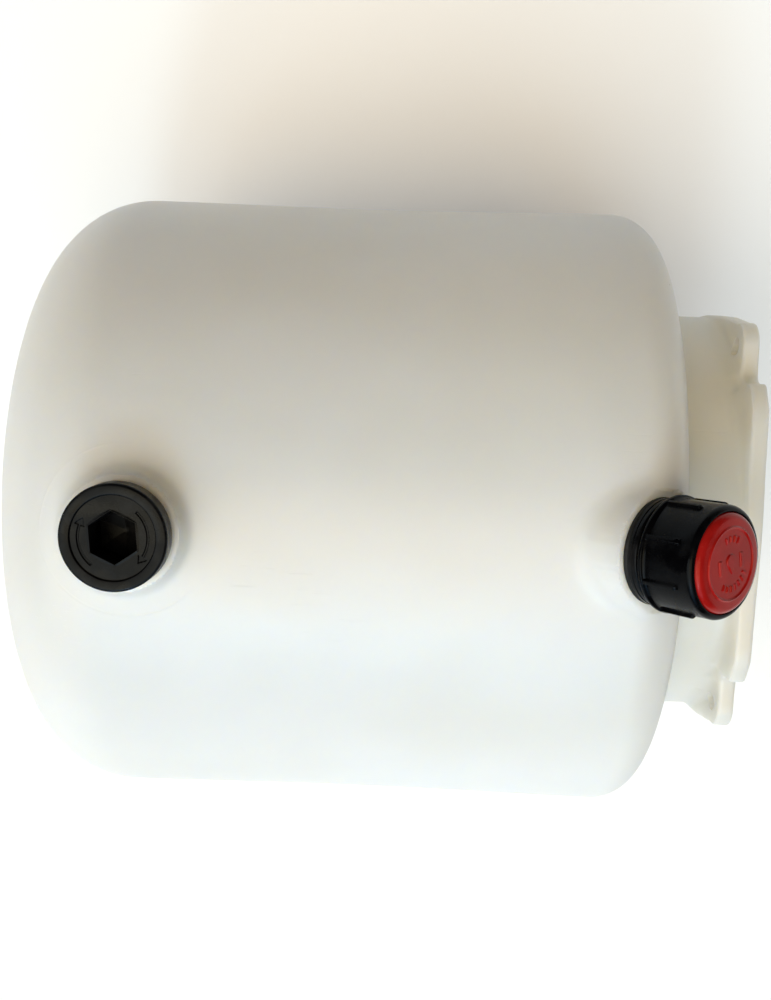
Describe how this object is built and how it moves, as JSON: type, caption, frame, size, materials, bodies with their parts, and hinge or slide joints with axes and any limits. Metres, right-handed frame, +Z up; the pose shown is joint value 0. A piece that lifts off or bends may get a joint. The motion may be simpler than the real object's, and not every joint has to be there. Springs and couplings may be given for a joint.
{
  "type": "oil expansion tank",
  "caption": "Round plastic oil reservoir lying on its side, with a flanged open neck, a hexagon-socket screw plug and a tilted filler breather with a red disc.",
  "frame": {"origin": "centre of the neck mouth, in the plane of the flange face", "axes": "+X along the tank's axis, out of the neck; +Z up, on the side of the two ports; +Y across"},
  "size_m": [0.2306, 0.197, 0.2197],
  "materials": {
    "tank_plastic": "natural translucent polyethylene, satin",
    "black_plastic": "moulded glass-filled nylon, satin",
    "cap_plastic": "moulded nylon, satin",
    "seal_rubber": "moulded nitrile rubber",
    "red_plastic": "glossy moulded plastic",
    "filter_foam": "open-cell foam",
    "inner_plastic": "moulded nylon"
  },
  "bodies": {
    "tank": {"tank_shell": "tank_plastic"},
    "plug_seal": {"plug_gasket": "seal_rubber"},
    "plug": {"plug_body": "black_plastic"},
    "breather_seal": {"breather_gasket": "seal_rubber"},
    "breather": {"breather_base": "black_plastic", "breather_cap": "cap_plastic", "breather_disc": "red_plastic", "breather_filter": "filter_foam", "filter_carrier": "inner_plastic", "splash_guard": "inner_plastic"}
  },
  "joints": [
    {"name": "plug_lift", "type": "slide", "parent": "tank", "child": "plug_seal", "axis": [0, 0, 1], "range_m": [0, 0.0127]},
    {"name": "plug_turn", "type": "hinge", "parent": "plug_seal", "child": "plug", "pos_m": [-0.178, 0, 0.102], "axis": [0, 0, 1], "range_deg": [0, 2520]},
    {"name": "breather_lift", "type": "slide", "parent": "tank", "child": "breather_seal", "axis": [0.6508, 0, 0.7593], "range_m": [0, 0.0127]},
    {"name": "breather_turn", "type": "hinge", "parent": "breather_seal", "child": "breather", "pos_m": [-0.0365, 0, 0.0961], "axis": [0.6508, 0, 0.7593], "range_deg": [0, 2520]}
  ],
  "couplings": [
    {"joint": "plug_lift", "follows": "plug_turn", "m_per_rad": 0.00028871},
    {"joint": "breather_lift", "follows": "breather_turn", "m_per_rad": 0.00028871}
  ]
}
